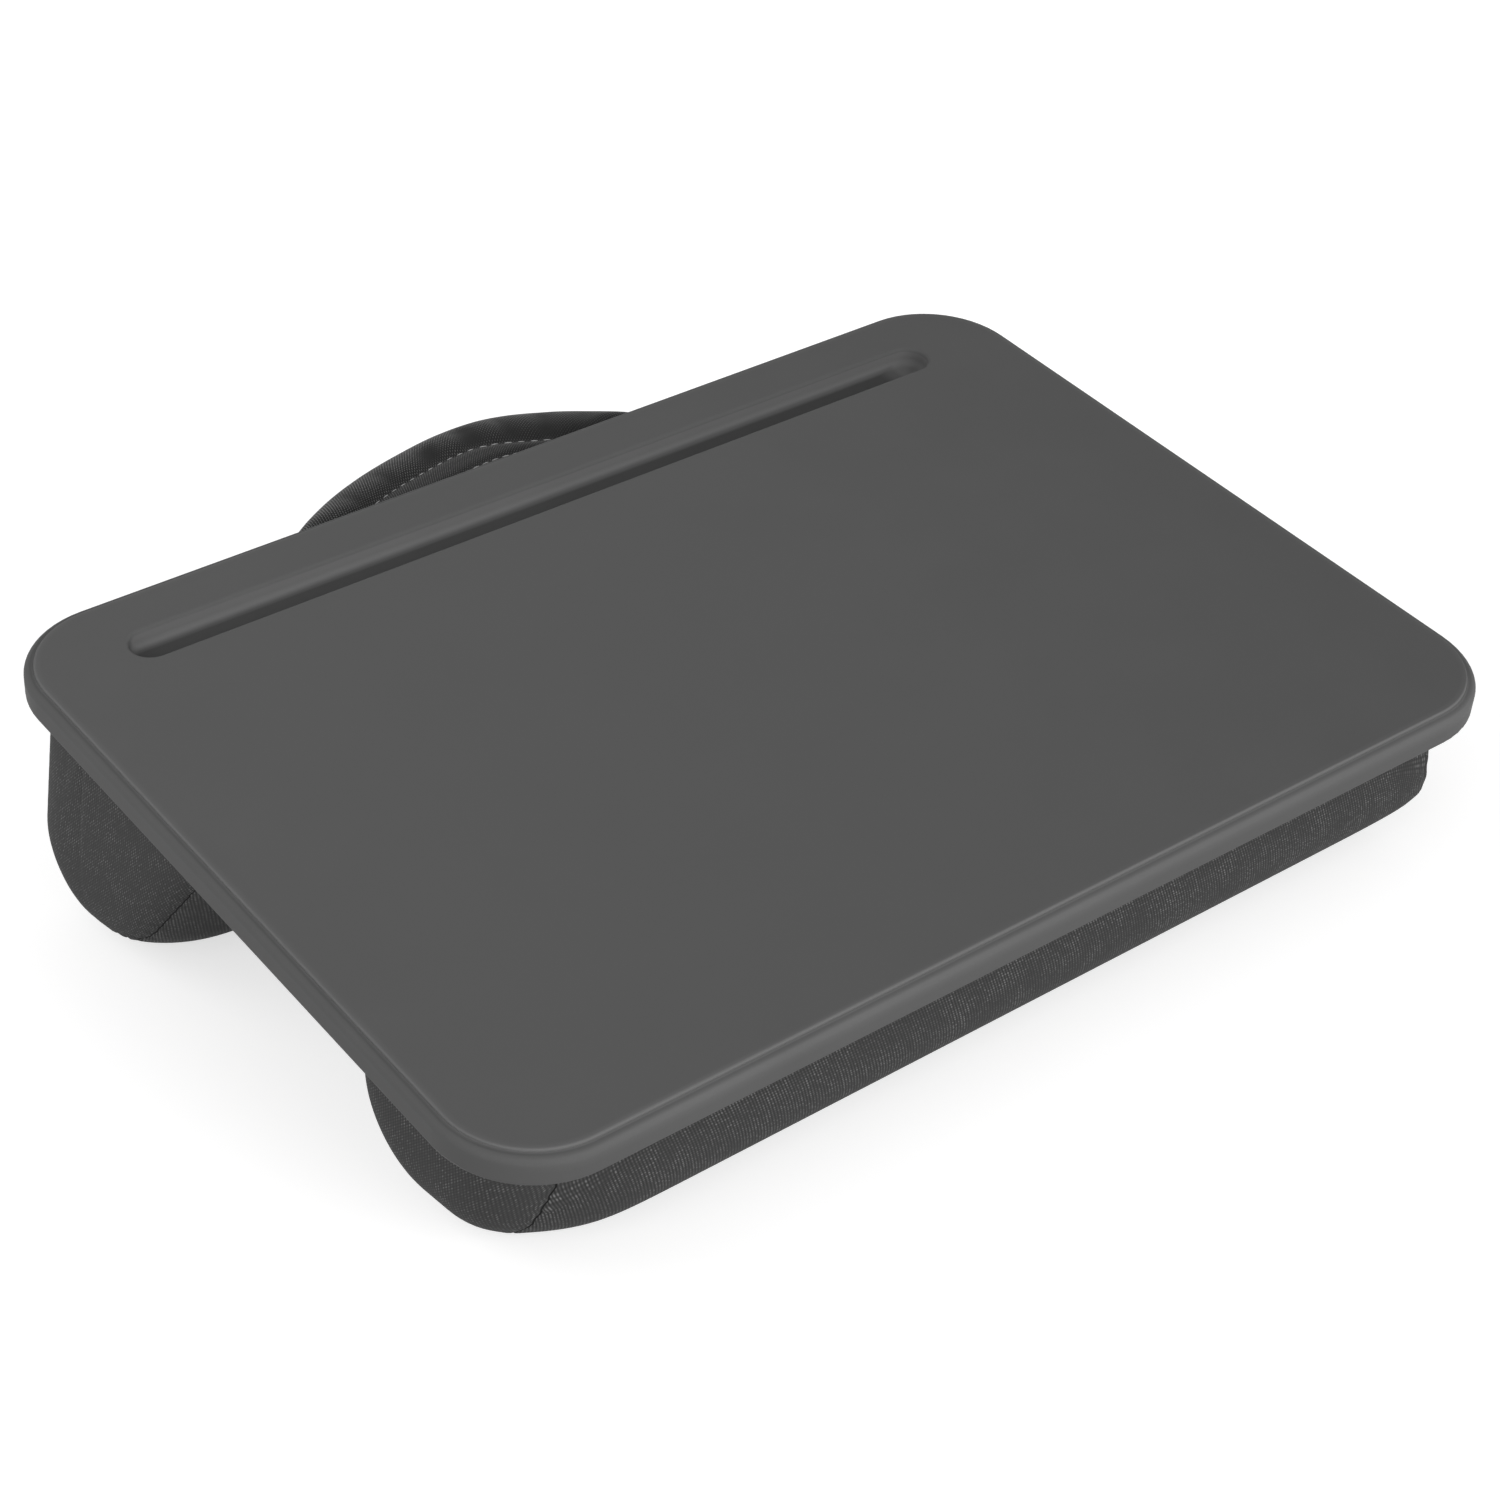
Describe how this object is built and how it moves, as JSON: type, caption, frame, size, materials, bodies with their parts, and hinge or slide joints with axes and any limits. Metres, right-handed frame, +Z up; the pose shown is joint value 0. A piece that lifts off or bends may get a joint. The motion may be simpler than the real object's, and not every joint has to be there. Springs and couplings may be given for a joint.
{
  "type": "lap tray with cushion",
  "caption": "Foil-wrapped lap board with a pen groove, tilted on a low front and a tall back fabric bolster, with a padded carry handle behind.",
  "frame": {"origin": "on the floor under the middle of the object's outline seen from above, handle included", "axes": "+X to the user's right, +Y away from the user towards the handle, +Z up"},
  "size_m": [0.3556, 0.2894, 0.095],
  "materials": {
    "core": "raw fibreboard",
    "foil": "satin grey film",
    "backing": "non-woven",
    "cover": "ribbed weave",
    "cover_end": "fine dotted weave",
    "handle": "twill",
    "filling": "fibre fill",
    "steel": "bright wire"
  },
  "bodies": {
    "desk": {"tray_core": "core", "tray_foil": "foil", "backing_cloth": "backing", "centre_web": "cover", "front_wrap_panel": "cover", "front_left_end_panel": "cover_end", "front_right_end_panel": "cover_end", "front_fill": "filling", "back_wrap_panel": "cover", "back_left_end_panel": "cover_end", "back_right_end_panel": "cover_end", "back_fill": "filling", "left_handle_tab": "handle", "right_handle_tab": "handle", "hem_staples": "steel", "handle_staples": "steel"},
    "handle": {"handle_sleeve": "handle", "handle_padding": "filling"}
  },
  "joints": [
    {"name": "handle_swing", "type": "hinge", "parent": "desk", "child": "handle", "pos_m": [0, 0.11202, 0.08372], "axis": [1, 0, 0], "range_deg": [-90, 80]}
  ]
}
